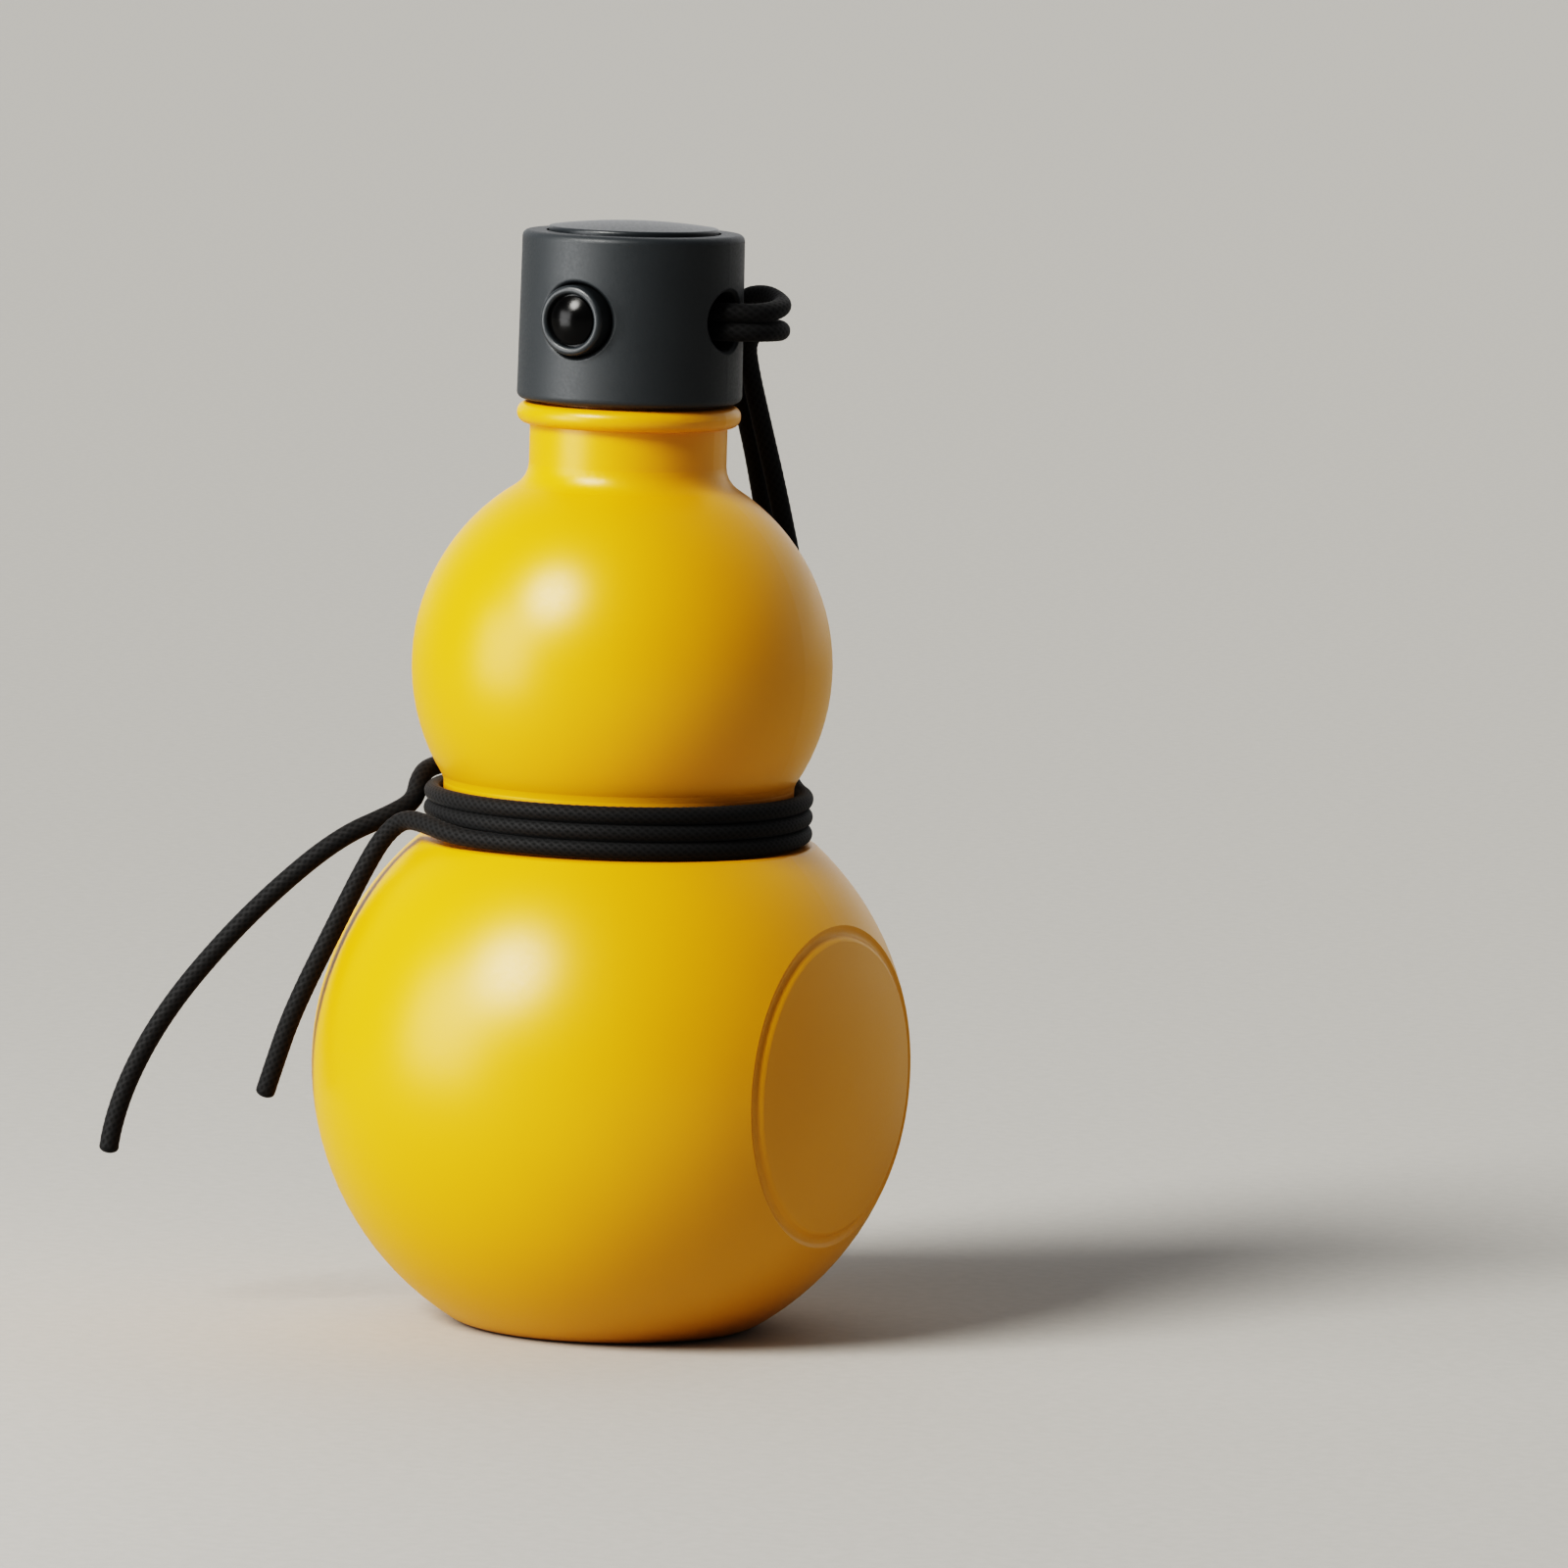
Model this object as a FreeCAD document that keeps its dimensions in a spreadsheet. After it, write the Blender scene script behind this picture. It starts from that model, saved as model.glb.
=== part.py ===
import FreeCAD, Part
import Sketcher

import math
import os
import re

Vector = FreeCAD.Vector

# A gourd water bottle: two globes, a screw cap with a sprung cord lock in it,
# and one cord that runs from the cap to the waist. Lengths in mm.
# Z is the bottle's axis, Y = 0 cuts the cord hole, the button faces -Y.

SIZES = {
    # bottle
    "lowerGlobeRadius": 50.0,
    "baseCut": 6.4,
    "baseRounding": 8.0,
    "dishRadius": 15.5,
    "dishDepth": 1.2,
    "upperGlobeRadius": 35.0,
    "wall": 1.8,
    "waistInset": 5.8,
    "waistHeight": 9.9,
    "waistRounding": 2.0,
    "shoulderWidth": 3.75,
    "shoulderRounding": 1.2,
    "mouthRadius": 13.0,
    "finishWall": 1.65,
    "finishHeight": 6.85,
    "lipRounding": 0.4,
    "neckStep": 1.75,
    "neckLength": 10.95,
    "neckRounding": 4.5,
    "beadProud": 0.4,
    "beadHalf": 1.8,
    "throatDrop": 4.0,
    "throatRise": 3.0,
    # round panels on the lower globe
    "discRadius": 24.4,
    "discDrop": 0.54,
    "discCrown": 100.0,
    "moatSlope": 1.1,
    "moatDrop": 1.2,
    "rimSlope": 1.3,
    "panelRounding": 1.0,
    # cap, liner and gasket
    "capOverlap": 4.6,
    "capWall": 1.7,
    "capTaper": 0.3,
    "capRoof": 2.5,
    "capHeadroom": 4.7,
    "capTopRounding": 1.1,
    "capFootRounding": 1.2,
    "holeRounding": 0.7,
    "threadGap": 1.1,
    "linerWall": 1.25,
    "linerLift": 0.5,
    "linerLedge": 0.6,
    "deckThickness": 1.7,
    "gasketThickness": 1.5,
    "gasketGap": 0.25,
    "gasketLap": 0.4,
    # top plate
    "plateInset": 4.25,
    "plateGap": 0.35,
    "plateThickness": 1.75,
    "plateCrown": 100.0,
    "plateSeatDepth": 1.0,
    "plateRounding": 0.45,
    "spigotRadius": 5.2,
    "spigotGap": 0.1,
    "spigotPoke": 1.1,
    # cord lock
    "plungerRadius": 5.2,
    "plungerGap": 0.1,
    "plungerWeb": 1.75,
    "barrelWall": 1.4,
    "frontRoom": 3.6,
    "backRoom": 2.2,
    "guideRoom": 1.6,
    "guideWall": 1.1,
    "footHalf": 5.6,
    "footThickness": 1.6,
    "footInset": 2.0,
    "headStep": 0.65,
    "headClear": 0.45,
    "headRim": 1.5,
    "headRounding": 0.8,
    "buttonGap": 0.3,
    "buttonProud": 1.5,
    "pressTravel": 2.2,
    "pressMargin": 0.2,
    "domeSeatDepth": 1.4,
    "domeGap": 0.3,
    "domeSkirt": 0.9,
    "domeHeight": 2.2,
    "springPocketRadius": 3.4,
    "springPocketDepth": 3.8,
    "springSeat": 1.4,
    "springWire": 0.35,
    "springGap": 0.4,
    "springEndGap": 0.05,
    # cord
    "cordRadius": 1.55,
    "cordGap": 0.35,
    "cordSideGap": 0.3,
    "cordHoleGap": 1.35,
    "turnGap": 0.3,
    "pairHalf": 2.0,
    "cordUnit": 1.0,
    # small flats in the middle of the crowned faces and of the dome
    "crownFlat": 0.6,
    "domeFlat": 0.15,
    # how near two edges count as one, and what a full rounding leaves
    "edgeMargin": 0.05,
}

# Sizes that follow from those above, as formulas on the sheet.
DERIVED = {
    "lowerGlobeHeight": "lowerGlobeRadius - baseCut",
    "waistRadius": "upperGlobeRadius - waistInset",
    "shoulderReach": "waistRadius + shoulderWidth",
    "waistFloor": "lowerGlobeHeight + sqrt(lowerGlobeRadius^2 - shoulderReach^2)",
    "waistTop": "waistFloor + waistHeight",
    "upperGlobeHeight": "waistTop + sqrt(upperGlobeRadius^2 - waistRadius^2)",
    "finishRadius": "mouthRadius + finishWall",
    "neckRadius": "finishRadius + neckStep",
    "neckFoot": "upperGlobeHeight + sqrt(upperGlobeRadius^2 - neckRadius^2)",
    "beadHeight": "neckFoot + neckLength",
    "beadReach": "neckRadius + beadProud",
    "throatHeight": "beadHeight - throatDrop",
    "lipHeight": "beadHeight + finishHeight",
    "discFace": "sqrt(lowerGlobeRadius^2 - discRadius^2) - discDrop",
    "moatRadius": "discRadius + moatSlope",
    "moatFace": "discFace - moatDrop",
    "rimRadius": "moatRadius + rimSlope",
    "rimFace": "sqrt(lowerGlobeRadius^2 - rimRadius^2) + edgeMargin",
    "linerBore": "finishRadius + threadGap",
    "skirtBore": "linerBore + linerWall",
    "chamberRadius": "skirtBore - linerLedge",
    "gasketRadius": "linerBore - gasketGap",
    "gasketBore": "mouthRadius - gasketLap",
    "deckHeight": "lipHeight + gasketThickness + deckThickness",
    "barrelBore": "plungerRadius + plungerGap",
    "barrelRadius": "barrelBore + barrelWall",
    "barrelFront": "chamberRadius - frontRoom",
    "barrelBack": "chamberRadius - backRoom",
    "cordHole": "pairHalf + cordRadius + cordHoleGap",
    "guideRadius": "cordHole + guideWall",
    "guideReach": "chamberRadius - guideRoom",
    "headRadius": "plungerRadius + headStep",
    "lockHeight": "deckHeight + headRadius + headClear",
    "buttonHole": "headRadius + buttonGap",
    "plungerRear": "cordRadius + cordSideGap + plungerWeb + springPocketDepth",
    "plungerShoulder": "plungerRear + barrelFront + pressTravel + pressMargin",
    "capRadius": "skirtBore + capWall",
    "capTopRadius": "capRadius - capTaper",
    "capBottom": "lipHeight - capOverlap",
    "roofHeight": "lockHeight + barrelRadius + capHeadroom",
    "capTop": "roofHeight + capRoof",
    "plateRadius": "capTopRadius - plateInset",
    "plateSeatRadius": "plateRadius + plateGap",
    "spigotBore": "spigotRadius + spigotGap",
    "spigotLength": "capRoof - plateSeatDepth + spigotPoke",
    "plungerFace": "plungerRear + capRadius + buttonProud",
    "domeSeatRadius": "headRadius - headRim",
    "domeRadius": "domeSeatRadius - domeGap",
    "springRadius": "springPocketRadius - springGap - springWire",
}

SPRING_TURNS = 6
WAIST_TURNS = 3
# where the winding begins, ends and steps down, in degrees from +X about Z
FIRST_ANGLE = 36
LAST_ANGLE = 236 - 360 * WAIST_TURNS
DROP_FROM = 145
DROP_TO = 70
# how far the winding turns while its ends leave the waist, in degrees
START_SWING = 27
STOP_SWING = 24
# the plane the tails hang in, in degrees from the cord hole
TAIL_PLANE = 30
# where one cord piece hands over to the next on a straight run
RISER_SHARE = 0.32
KNOT_SHARE = 0.5
# how much of a straight run a turn's arc may use
TURN_SHARE = 0.45

document = FreeCAD.newDocument("gourd_bottle")
sheet = document.addObject("Spreadsheet::Sheet", "sizes")
cells = {alias: str(value) for alias, value in SIZES.items()}
cells.update({alias: "=" + formula for alias, formula in DERIVED.items()})
for row, (alias, content) in enumerate(cells.items(), start=1):
    sheet.set("A%d" % row, alias)
    sheet.set("B%d" % row, content)
    sheet.setAlias("B%d" % row, alias)
document.recompute()


def amount(text):
    """The value of a sum of named sizes, such as "capRadius - wall"."""
    total = 0.0
    for sign, name in re.findall(r"([+-]?)\s*([A-Za-z]\w*)", text):
        size = float(getattr(sheet, name))
        total += -size if sign == "-" else size
    return total


def bound(text):
    """The same sum as an expression on the sheet."""
    return re.sub(r"[A-Za-z]\w*", lambda found: "sizes." + found.group(), text)


def new_body(label):
    body = document.addObject("PartDesign::Body", label)
    body.Label = label
    return body


def origin_of(body, role):
    return next(item for item in body.Origin.OriginFeatures if item.Role == role)


def new_sketch(body, plane):
    sketch = body.newObject("Sketcher::SketchObject", "sketch")
    sketch.AttachmentSupport = [(origin_of(body, plane), "")]
    sketch.MapMode = "FlatFace"
    return sketch


def bind(sketch, kind, places, text):
    """One dimension of a sketch, bound to the sheet."""
    number = sketch.addConstraint(Sketcher.Constraint(kind, *places, amount(text)))
    sketch.setExpression("Constraints[%d]" % number, bound(text))


def pin(sketch, piece, end, across, up):
    """Hold a point at named distances from the sketch's origin."""
    for kind, text, axis in (("DistanceX", across, -2), ("DistanceY", up, -1)):
        if text is None:
            continue
        if text == "":
            sketch.addConstraint(Sketcher.Constraint("PointOnObject", piece, end, axis))
        elif text.startswith("-"):
            bind(sketch, kind, (piece, end, -1, 1), text[1:])
        else:
            bind(sketch, kind, (-1, 1, piece, end), text)


def outline(sketch, corners):
    """A closed outline of straight lines through named corners."""
    spots = []
    for across, up in corners:
        spots.append(Vector(signed(across), signed(up), 0))
    first = sketch.GeometryCount
    count = len(spots)
    for index in range(count):
        sketch.addGeometry(Part.LineSegment(spots[index], spots[(index + 1) % count]))
    for index in range(count):
        piece = first + index
        after = first + (index + 1) % count
        sketch.addConstraint(Sketcher.Constraint("Coincident", piece, 2, after, 1))
        pin(sketch, piece, 1, *corners[index])


def signed(text):
    if text == "":
        return 0.0
    if text.startswith("-"):
        return -amount(text[1:])
    return amount(text)


def disc(sketch, radius):
    number = sketch.addGeometry(Part.Circle(Vector(), Vector(0, 0, 1), amount(radius)))
    sketch.addConstraint(Sketcher.Constraint("Coincident", number, 3, -1, 1))
    bind(sketch, "Radius", (number,), radius)


def revolved(body, sketch, axis="V_Axis", kind="Revolution"):
    feature = body.newObject("PartDesign::" + kind, kind.lower())
    feature.Profile = sketch
    feature.ReferenceAxis = (sketch, [axis])
    feature.Angle = 360
    document.recompute()
    return feature


def swept_straight(body, sketch, kind, forward, backward):
    """A pad or pocket on both sides of its sketch."""
    feature = body.newObject("PartDesign::" + kind, kind.lower())
    feature.Profile = sketch
    feature.SideType = "Two sides"
    feature.setExpression("Length", bound(forward))
    feature.setExpression("Length2", bound(backward))
    document.recompute()
    return feature


def round_edges(shape):
    """Every circular edge of a shape, with its name."""
    for number, edge in enumerate(shape.Edges, start=1):
        if not edge.Degenerated and isinstance(edge.Curve, Part.Circle):
            yield "Edge%d" % number, edge.Curve


def circles_at(shape, places):
    """The names of the round edges at these radii and heights about the Z axis."""
    near = amount("edgeMargin")
    names = []
    for name, curve in round_edges(shape):
        if math.hypot(curve.Center.x, curve.Center.y) > near:
            continue
        for radius, height in places:
            if abs(curve.Radius - radius) + abs(curve.Center.z - height) < near:
                names.append(name)
    return names


def soften_circles(body, places, text):
    before = body.Tip
    names = circles_at(before.Shape, places)
    if len(names) < len(places):
        raise ValueError("%s: %d of %d edges" % (body.Label, len(names), len(places)))
    feature = body.newObject("PartDesign::Fillet", "fillet")
    feature.Base = (before, names)
    feature.setExpression("Radius", bound(text))
    document.recompute()
    return feature


def across_globe(radius, height):
    """How far a globe reaches sideways at a height above its middle."""
    return math.sqrt(radius * radius - height * height)


def gourd(body, inset, top):
    """Both globes, the waist groove and the neck, inside the wall if inset is given.

    top lists the corners from the neck's upper end to the axis.
    """
    sketch = new_sketch(body, "XZ_Plane")
    less = " - " + inset if inset else ""
    lower = "lowerGlobeRadius" + less
    upper = "upperGlobeRadius" + less
    waist = "waistRadius" + less
    floor = "waistFloor" + less
    neck = "neckRadius" + less
    base = inset if inset else ""
    dish = "dishDepth + " + inset if inset else "dishDepth"
    low_middle = Vector(0, amount("lowerGlobeHeight"), 0)
    high_middle = Vector(0, amount("upperGlobeHeight"), 0)
    base_at = signed(base)
    base_reach = across_globe(amount(lower), low_middle.y - base_at)
    shoulder = across_globe(amount(lower), amount(floor) - low_middle.y)
    waist_top = high_middle.y - across_globe(amount(upper), amount(waist))
    neck_foot = high_middle.y + across_globe(amount(upper), amount(neck))
    flat = Vector(0, 0, 1)

    def arc(middle, radius, start, stop):
        angles = []
        for spot in (start, stop):
            angles.append(math.atan2(spot.y - middle.y, spot.x - middle.x))
        return Part.ArcOfCircle(Part.Circle(middle, flat, radius), *angles)

    spots = [
        Vector(0, amount(dish), 0),
        Vector(amount("dishRadius"), base_at, 0),
        Vector(base_reach, base_at, 0),
        Vector(shoulder, amount(floor), 0),
        Vector(amount(waist), amount(floor), 0),
        Vector(amount(waist), waist_top, 0),
        Vector(amount(neck), neck_foot, 0),
    ]
    below = len(spots)
    for across, up in top:
        spots.append(Vector(signed(across), signed(up), 0))
    count = len(spots)
    for index in range(count):
        start = spots[index]
        stop = spots[(index + 1) % count]
        if index == 2:
            sketch.addGeometry(arc(low_middle, amount(lower), start, stop))
        elif index == 5:
            sketch.addGeometry(arc(high_middle, amount(upper), start, stop))
        else:
            sketch.addGeometry(Part.LineSegment(start, stop))
    for index in range(count):
        after = (index + 1) % count
        sketch.addConstraint(Sketcher.Constraint("Coincident", index, 2, after, 1))
    pin(sketch, 0, 1, "", dish)
    pin(sketch, 1, 1, "dishRadius", base)
    sketch.addConstraint(Sketcher.Constraint("Horizontal", 1))
    pin(sketch, 2, 3, "", "lowerGlobeHeight")
    bind(sketch, "Radius", (2,), lower)
    sketch.addConstraint(Sketcher.Constraint("Horizontal", 3))
    pin(sketch, 4, 1, waist, floor)
    sketch.addConstraint(Sketcher.Constraint("Vertical", 4))
    pin(sketch, 5, 3, "", "upperGlobeHeight")
    bind(sketch, "Radius", (5,), upper)
    pin(sketch, 6, 1, neck, None)
    for index, (across, up) in enumerate(top):
        pin(sketch, below + index, 1, across, up)
    revolved(body, sketch)
    soften_circles(body, [(base_reach, base_at)], "baseRounding" + less)
    soften_circles(body, [(shoulder, amount(floor))], "shoulderRounding")
    corners = [(amount(waist), amount(floor))]
    soften_circles(body, corners, "shoulderRounding")
    soften_circles(body, [(amount(waist), waist_top)], "waistRounding")
    soften_circles(body, [(amount(neck), neck_foot)], "neckRounding")


def panel_sketch(body, crown, edge, corners):
    """The outline cut away over a round panel, turned about the panel's own axis."""
    sketch = new_sketch(body, "XZ_Plane")
    sketch.setExpression("AttachmentOffset.Base.y", "sizes.lowerGlobeHeight")
    reach = amount(edge[1])
    flat = amount("crownFlat")
    radius = amount(crown)
    middle = amount(edge[0]) - math.sqrt(radius * radius - reach * reach)
    front = middle + math.sqrt(radius * radius - flat * flat)
    circle = Part.Circle(Vector(middle, 0, 0), Vector(0, 0, 1), radius)
    ends = (math.asin(flat / radius), math.asin(reach / radius))
    sketch.addGeometry(Part.ArcOfCircle(circle, *ends))
    spots = [Vector(amount(edge[0]), reach, 0)]
    for across, up in corners:
        spots.append(Vector(signed(across), signed(up), 0))
    spots += [Vector(front, 0, 0), Vector(front, flat, 0)]
    for index in range(len(spots) - 1):
        sketch.addGeometry(Part.LineSegment(spots[index], spots[index + 1]))
    last = len(spots) - 1
    for index in range(last):
        sketch.addConstraint(Sketcher.Constraint("Coincident", index, 2, index + 1, 1))
    sketch.addConstraint(Sketcher.Constraint("Coincident", last, 2, 0, 1))
    sketch.addConstraint(Sketcher.Constraint("PointOnObject", 0, 3, -1))
    sketch.addConstraint(Sketcher.Constraint("PointOnObject", last, 1, -1))
    sketch.addConstraint(Sketcher.Constraint("Vertical", last))
    pin(sketch, 0, 1, None, "crownFlat")
    bind(sketch, "Radius", (0,), crown)
    pin(sketch, 1, 1, *edge)
    for index, (across, up) in enumerate(corners):
        pin(sketch, 2 + index, 1, across, up)
    return sketch


def panels(body, sketch):
    cut = revolved(body, sketch, "H_Axis", "Groove")
    both = body.newObject("PartDesign::PolarPattern", "both_sides")
    both.Originals = [cut]
    both.Axis = (origin_of(body, "Z_Axis"), [""])
    both.Angle = 360
    both.Occurrences = 2
    body.Tip = both
    document.recompute()
    return both


def soften_panels(body):
    """Round every edge that runs about the panels' own axis."""
    before = body.Tip
    names = []
    for name, curve in round_edges(before.Shape):
        if abs(curve.Axis.x) > abs(curve.Axis.z):
            names.append(name)
    feature = body.newObject("PartDesign::Fillet", "panel_rims")
    feature.Base = (before, names)
    feature.setExpression("Radius", "sizes.panelRounding")
    document.recompute()


def bottle_shell():
    outer = new_body("bottle_outer")
    bead_low = "beadHeight - beadHalf"
    bead_high = "beadHeight + beadHalf"
    gourd(
        outer,
        "",
        [
            ("neckRadius", bead_low),
            ("beadReach + beadHalf", bead_low),
            ("beadReach + beadHalf", bead_high),
            ("finishRadius", bead_high),
            ("finishRadius", "lipHeight"),
            ("", "lipHeight"),
        ],
    )
    nose = amount("beadReach + beadHalf")
    places = [(nose, amount(bead_low)), (nose, amount(bead_high))]
    soften_circles(outer, places, "beadHalf - edgeMargin")
    lip = [(amount("finishRadius"), amount("lipHeight"))]
    soften_circles(outer, lip, "lipRounding")
    beyond = "lowerGlobeRadius + wall"
    corners = [
        ("moatFace", "moatRadius"),
        ("rimFace", "rimRadius"),
        (beyond, "rimRadius"),
        (beyond, ""),
    ]
    edge = ("discFace", "discRadius")
    panels(outer, panel_sketch(outer, "discCrown", edge, corners))
    soften_panels(outer)
    cavity = new_body("bottle_cavity")
    throat = "throatHeight + throatRise"
    gourd(
        cavity,
        "wall",
        [
            ("neckRadius - wall", "throatHeight"),
            ("mouthRadius", throat),
            ("mouthRadius", "lipHeight + wall"),
            ("", "lipHeight + wall"),
        ],
    )
    corners = [(beyond, "moatRadius"), (beyond, "")]
    edge = ("moatFace - wall", "moatRadius")
    panels(cavity, panel_sketch(cavity, "discCrown", edge, corners))
    shell = document.addObject("Part::Cut", "bottle_shell")
    shell.Base = outer
    shell.Tool = cavity
    shell.Label = "bottle_shell"
    return shell


def cap_shell():
    body = new_body("cap_shell")
    sketch = new_sketch(body, "XZ_Plane")
    top = "capTop"
    seat = "capTop - plateSeatDepth"
    outline(
        sketch,
        [
            ("skirtBore", "capBottom"),
            ("capRadius", "capBottom"),
            ("capTopRadius", top),
            ("plateSeatRadius", top),
            ("plateSeatRadius", seat),
            ("spigotBore", seat),
            ("spigotBore", "roofHeight"),
            ("chamberRadius", "roofHeight"),
            ("chamberRadius", "deckHeight"),
            ("skirtBore", "deckHeight"),
        ],
    )
    revolved(body, sketch)
    soften_circles(body, [(amount("capTopRadius"), amount(top))], "capTopRounding")
    foot = [(amount("capRadius"), amount("capBottom"))]
    soften_circles(body, foot, "capFootRounding")
    for plane, radius in (("YZ_Plane", "cordHole"), ("XZ_Plane", "buttonHole")):
        hole = new_sketch(body, plane)
        hole.setExpression("AttachmentOffset.Base.y", "sizes.lockHeight")
        disc(hole, radius)
        cut = body.newObject("PartDesign::Pocket", "hole")
        cut.Profile = hole
        through = bound("capRadius + capWall")
        cut.setExpression("Length", through)
        if plane == "YZ_Plane":
            cut.SideType = "Two sides"
            cut.setExpression("Length2", through)
        else:
            cut.Reversed = True
        document.recompute()
        names = outer_rims(cut.Shape, amount(radius))
        rim = body.newObject("PartDesign::Fillet", "rim")
        rim.Base = (cut, names)
        rim.setExpression("Radius", "sizes.holeRounding")
        document.recompute()
    return body


def outer_rims(shape, radius):
    """The rims of the cap's side holes on its outer face."""
    height = amount("lockHeight")
    near = amount("edgeMargin")
    names = []
    for number, edge in enumerate(shape.Edges, start=1):
        box = edge.BoundBox
        if abs(box.ZMax - height - radius) > near:
            continue
        if abs(height - box.ZMin - radius) > near:
            continue
        reach = max(abs(box.XMin), abs(box.XMax), abs(box.YMin), abs(box.YMax))
        if reach > amount("capTopRadius"):
            names.append("Edge%d" % number)
    return names


def cap_liner():
    body = new_body("cap_liner")
    sketch = new_sketch(body, "XZ_Plane")
    foot = "capBottom + linerLift"
    under = "lipHeight + gasketThickness"
    outline(
        sketch,
        [
            ("linerBore", foot),
            ("skirtBore", foot),
            ("skirtBore", "deckHeight"),
            ("", "deckHeight"),
            ("", under),
            ("linerBore", under),
        ],
    )
    revolved(body, sketch)
    return body


def cap_gasket():
    body = new_body("cap_gasket")
    sketch = new_sketch(body, "XZ_Plane")
    outline(
        sketch,
        [
            ("gasketBore", ""),
            ("gasketRadius", ""),
            ("gasketRadius", "gasketThickness"),
            ("gasketBore", "gasketThickness"),
        ],
    )
    revolved(body, sketch)
    body.setExpression("Placement.Base.z", "sizes.lipHeight")
    return body


def cap_top_plate():
    """The crowned plate on the cap, with a spigot that is pressed into the roof."""
    body = new_body("cap_top_plate")
    sketch = new_sketch(body, "XZ_Plane")
    reach = amount("plateRadius")
    flat = amount("crownFlat")
    radius = amount("plateCrown")
    middle = amount("plateThickness") - math.sqrt(radius * radius - reach * reach)
    top = middle + math.sqrt(radius * radius - flat * flat)
    circle = Part.Circle(Vector(0, middle, 0), Vector(0, 0, 1), radius)
    ends = (math.acos(reach / radius), math.acos(flat / radius))
    sketch.addGeometry(Part.ArcOfCircle(circle, *ends))
    corners = [
        ("", "-spigotLength"),
        ("spigotRadius", "-spigotLength"),
        ("spigotRadius", ""),
        ("plateRadius", ""),
        ("plateRadius", "plateThickness"),
    ]
    spots = [Vector(flat, top, 0), Vector(0, top, 0)]
    for across, up in corners:
        spots.append(Vector(signed(across), signed(up), 0))
    last = len(spots) - 1
    for index in range(last):
        sketch.addGeometry(Part.LineSegment(spots[index], spots[index + 1]))
    for index in range(last):
        sketch.addConstraint(Sketcher.Constraint("Coincident", index, 2, index + 1, 1))
    sketch.addConstraint(Sketcher.Constraint("Coincident", last, 2, 0, 1))
    sketch.addConstraint(Sketcher.Constraint("PointOnObject", 0, 3, -2))
    sketch.addConstraint(Sketcher.Constraint("Horizontal", 1))
    pin(sketch, 2, 1, "", None)
    pin(sketch, 0, 2, "crownFlat", None)
    bind(sketch, "Radius", (0,), "plateCrown")
    for index, (across, up) in enumerate(corners, start=2):
        pin(sketch, index, 2, across, up)
    revolved(body, sketch)
    rim = [(amount("plateRadius"), amount("plateThickness"))]
    soften_circles(body, rim, "plateRounding")
    body.setExpression("Placement.Base.z", bound("capTop - plateSeatDepth"))
    return body


def lock_barrel():
    """The cross fitting in the cap: plunger bore along Y, cord guide along X."""
    body = new_body("lock_barrel")
    tube = new_sketch(body, "XZ_Plane")
    disc(tube, "barrelRadius")
    swept_straight(body, tube, "Pad", "barrelFront", "barrelBack")
    guide = new_sketch(body, "YZ_Plane")
    disc(guide, "guideRadius")
    swept_straight(body, guide, "Pad", "guideReach", "guideReach")
    drop = "lockHeight - deckHeight"
    foot = new_sketch(body, "XZ_Plane")
    corners = [
        ("-footHalf", "-" + drop),
        ("footHalf", "-" + drop),
        ("footHalf", "-" + drop + " - footThickness"),
        ("-footHalf", "-" + drop + " - footThickness"),
    ]
    outline(foot, corners)
    swept_straight(body, foot, "Pad", "barrelFront - footInset", "barrelBack - footInset")
    under = new_sketch(body, "XZ_Plane")
    corners = [
        ("-guideReach", "-" + drop),
        ("-guideReach", "-" + drop + " + footThickness"),
        ("guideReach", "-" + drop + " + footThickness"),
        ("guideReach", "-" + drop),
    ]
    outline(under, corners)
    swept_straight(body, under, "Pocket", "guideReach", "guideReach")
    bore = new_sketch(body, "XZ_Plane")
    disc(bore, "barrelBore")
    swept_straight(body, bore, "Pocket", "barrelBack - springSeat", "guideReach")
    passage = new_sketch(body, "YZ_Plane")
    disc(passage, "cordHole")
    swept_straight(body, passage, "Pocket", "capRadius", "capRadius")
    body.setExpression("Placement.Base.z", "sizes.lockHeight")
    return body


def lock_plunger():
    """The button's plunger, drawn along its own Z with the button at the top."""
    body = new_body("lock_plunger")
    sketch = new_sketch(body, "XZ_Plane")
    face = "plungerFace"
    seat = "plungerFace - domeSeatDepth"
    outline(
        sketch,
        [
            ("", "springPocketDepth"),
            ("springPocketRadius", "springPocketDepth"),
            ("springPocketRadius", ""),
            ("plungerRadius", ""),
            ("plungerRadius", "plungerShoulder"),
            ("headRadius", "plungerShoulder"),
            ("headRadius", face),
            ("domeSeatRadius", face),
            ("domeSeatRadius", seat),
            ("", seat),
        ],
    )
    revolved(body, sketch)
    soften_circles(body, [(amount("headRadius"), amount(face))], "headRounding")
    inner = [(amount("domeSeatRadius"), amount(face))]
    soften_circles(body, inner, "headRim - headRounding - edgeMargin")
    slot = new_sketch(body, "YZ_Plane")
    half = "pairHalf + cordRadius + cordSideGap"
    low = "plungerRear - cordRadius - cordSideGap"
    high = "plungerRear + cordRadius + cordSideGap + pressTravel"
    corners = [("-" + half, low), (half, low), (half, high), ("-" + half, high)]
    outline(slot, corners)
    swept_straight(body, slot, "Pocket", "headRadius", "headRadius")
    turn = FreeCAD.Rotation(Vector(1, 0, 0), 90)
    body.Placement = FreeCAD.Placement(Vector(), turn)
    body.setExpression("Placement.Base.y", "sizes.plungerRear")
    body.setExpression("Placement.Base.z", "sizes.lockHeight")
    return body


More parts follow.
